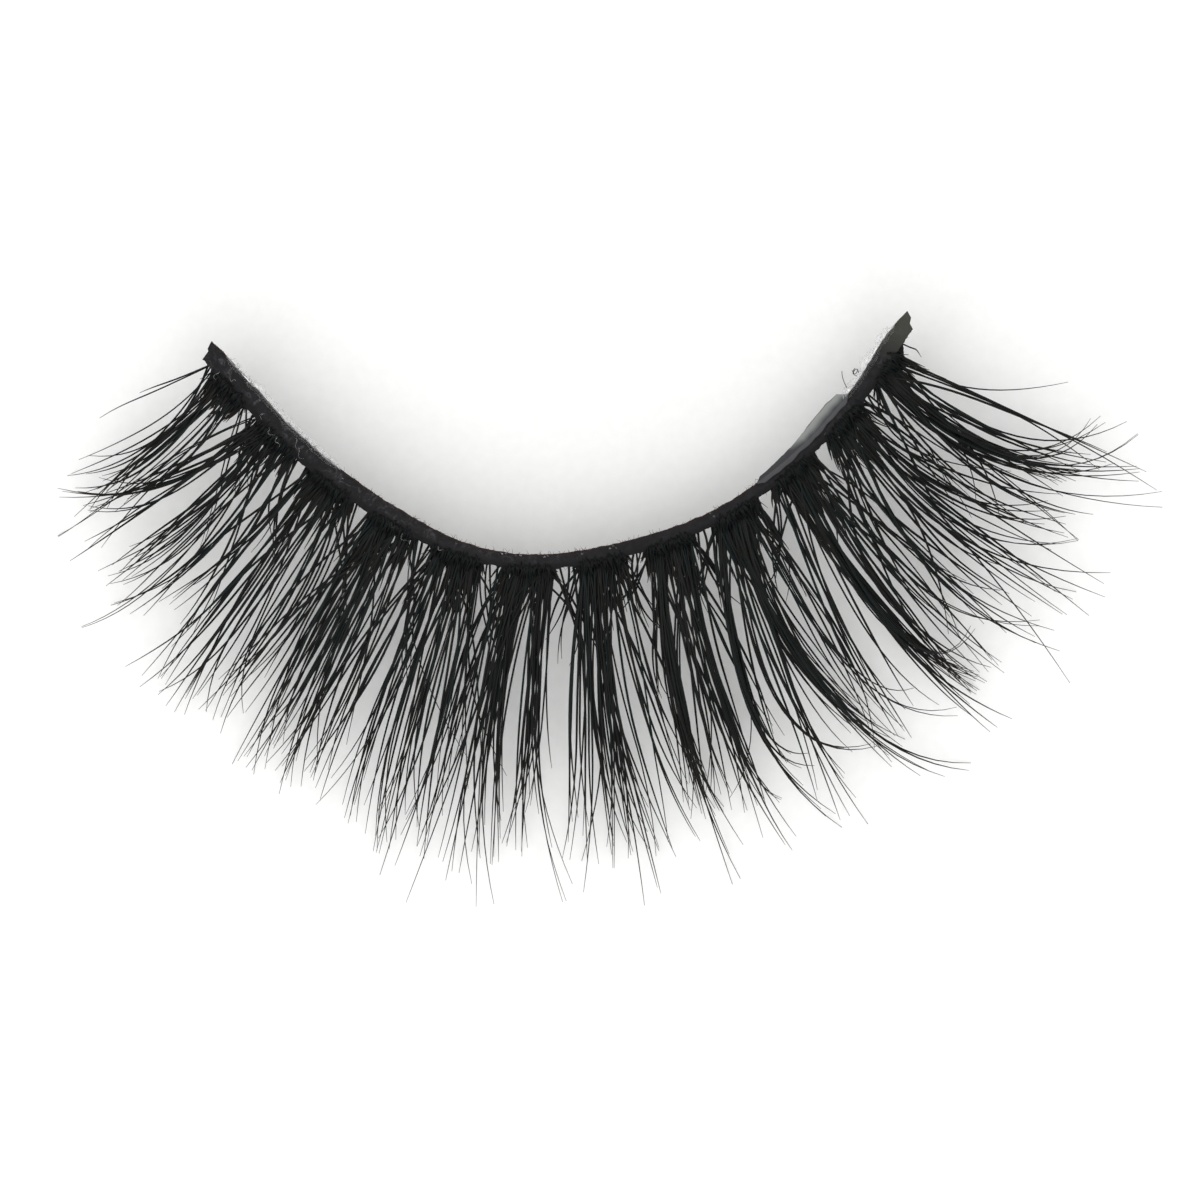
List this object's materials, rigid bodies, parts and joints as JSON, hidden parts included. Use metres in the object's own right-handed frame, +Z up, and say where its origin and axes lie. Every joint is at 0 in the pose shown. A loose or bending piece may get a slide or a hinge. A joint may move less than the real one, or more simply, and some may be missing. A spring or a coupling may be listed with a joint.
{
  "type": "false eyelash strip",
  "caption": "Curved black lash band with tapered, crossing hair clusters that curl down to their tips, and clear dried glue along its inner edge.",
  "frame": {"origin": "middle of the strip's outline as seen from above, on the surface that the hair tips rest on", "axes": "+X along the strip from the eye's inner corner to its outer corner, +Y from the hair tips towards the eye, +Z up, out of the glued face of the band"},
  "size_m": [0.0414, 0.0224, 0.0041],
  "materials": {
    "black_cotton": "matte woven cotton",
    "lash_fibre": "fine black fibre with a soft sheen",
    "dried_glue": "clear dried glue, crinkled and glossy"
  },
  "bodies": {
    "root": {"band": "black_cotton", "lash_fringe": "lash_fibre", "glue_film_left": "dried_glue", "glue_film_right": "dried_glue"}
  },
  "joints": []
}
